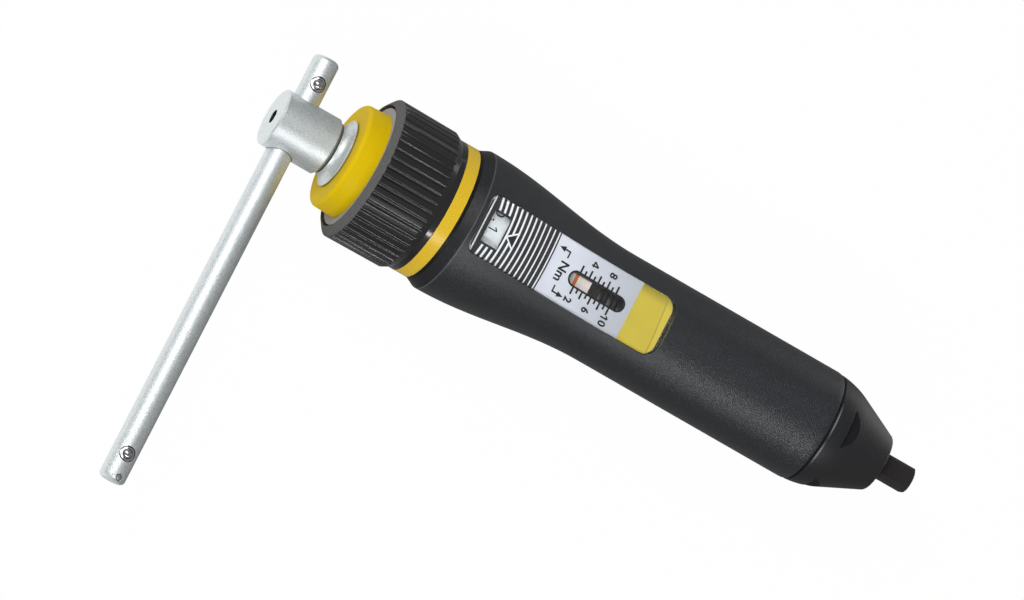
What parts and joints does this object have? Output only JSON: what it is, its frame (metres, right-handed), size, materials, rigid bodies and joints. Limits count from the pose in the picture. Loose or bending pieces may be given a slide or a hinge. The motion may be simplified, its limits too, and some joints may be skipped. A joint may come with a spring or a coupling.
{
  "type": "torque screwdriver",
  "caption": "Torque screwdriver with a square drive, a waisted grip with a scale window, a ribbed setting knob with a lock ring, and a plug-in handle with a sliding T-bar.",
  "frame": {"origin": "centre of the square drive's end face, on the tool's axis", "axes": "+X along the tool from the drive tip to the T-handle, +Z the way the scale window faces, +Y the long arm of the T-bar"},
  "size_m": [0.1905, 0.1201, 0.0392],
  "materials": {
    "grip_plastic": "fine moulded texture, charcoal",
    "nose_black": "black anodised, satin",
    "knob_plastic": "moulded, ribbed, charcoal",
    "band_yellow": "smooth yellow",
    "lock_yellow": "smooth bright yellow",
    "disc_grey": "light grey, smooth",
    "satin_steel": "satin chrome, fine grain",
    "black_steel": "black oxide",
    "inner_steel": "turned steel",
    "spring_steel": "spring wire",
    "ball_steel": "polished",
    "bronze": "turned bronze",
    "clear_lens": "clear, polished",
    "label_print": "printed silver, black, white and yellow",
    "drum_white": "white with black digits",
    "pointer_pale": "pale, matt",
    "pointer_orange": "orange paint"
  },
  "bodies": {
    "housing": {"housing": "grip_plastic", "nose_cap": "nose_black", "front_bush": "bronze", "thrust_washer": "bronze", "core_shaft": "inner_steel", "core_circlip": "spring_steel", "socket_collar": "satin_steel", "ring_nut": "nose_black", "knob_thrust_washer": "bronze", "scale_label": "label_print", "scale_lens": "clear_lens", "main_spring": "spring_steel"},
    "drive": {"drive_spindle": "black_steel", "drive_ball_spring": "spring_steel"},
    "drive_ball": {"drive_ball": "ball_steel"},
    "clutch": {"pressure_plate": "inner_steel", "clutch_balls": "ball_steel"},
    "nut": {"adjusting_nut": "black_steel", "pointer_plate": "pointer_pale", "pointer_line": "pointer_orange"},
    "knob": {"knob": "knob_plastic", "knob_band": "band_yellow", "lead_sleeve": "inner_steel", "digit_drum": "drum_white", "knob_screws": "spring_steel"},
    "lock": {"lock_ring": "lock_yellow", "lock_disc": "disc_grey", "lock_pins": "inner_steel"},
    "t_handle": {"handle_hub": "satin_steel"},
    "t_bar": {"t_bar": "satin_steel", "plunger_sleeves": "ball_steel", "plunger_spring_short": "spring_steel", "plunger_spring_long": "spring_steel"},
    "ball_short": {"plunger_ball_short": "ball_steel"},
    "ball_long": {"plunger_ball_long": "ball_steel"}
  },
  "joints": [
    {"name": "knob_turn", "type": "hinge", "parent": "housing", "child": "knob", "pos_m": [0.155, 0, 0], "axis": [1, 0, 0], "range_deg": [-18, 1422]},
    {"name": "nut_travel", "type": "slide", "parent": "housing", "child": "nut", "axis": [-1, 0, 0], "range_m": [-0.00014, 0.01086], "deforming": ["main_spring"]},
    {"name": "lock_slide", "type": "slide", "parent": "housing", "child": "lock", "axis": [-1, 0, 0], "range_m": [0, 0.003]},
    {"name": "drive_spin", "type": "hinge", "parent": "housing", "child": "drive", "pos_m": [0.02, 0, 0], "axis": [1, 0, 0], "range_deg": [0, 9], "stiffness_Nm_per_rad": 0.5},
    {"name": "clutch_lift", "type": "slide", "parent": "housing", "child": "clutch", "axis": [1, 0, 0], "range_m": [0, 0.000725], "deforming": ["main_spring"]},
    {"name": "drive_ball_press", "type": "slide", "parent": "drive", "child": "drive_ball", "axis": [0, 0, 1], "range_m": [0, 0.00045], "stiffness_N_per_m": 300, "deforming": ["drive_ball_spring"]},
    {"name": "handle_pull", "type": "slide", "parent": "housing", "child": "t_handle", "axis": [1, 0, 0], "range_m": [0, 0.02]},
    {"name": "bar_slide", "type": "slide", "parent": "t_handle", "child": "t_bar", "axis": [0, 1, 0], "range_m": [-0.0845, 0.0035]},
    {"name": "ball_short_press", "type": "slide", "parent": "t_bar", "child": "ball_short", "axis": [0, 0, -1], "range_m": [0, 0.0007], "stiffness_N_per_m": 400, "deforming": ["plunger_spring_short"]},
    {"name": "ball_long_press", "type": "slide", "parent": "t_bar", "child": "ball_long", "axis": [0, 0, -1], "range_m": [0, 0.0007], "stiffness_N_per_m": 400, "deforming": ["plunger_spring_long"]}
  ],
  "couplings": [
    {"joint": "knob_turn", "follows": "nut_travel", "rad_per_m": 2284.8},
    {"joint": "drive_spin", "follows": "clutch_lift", "rad_per_m": 216.51}
  ]
}
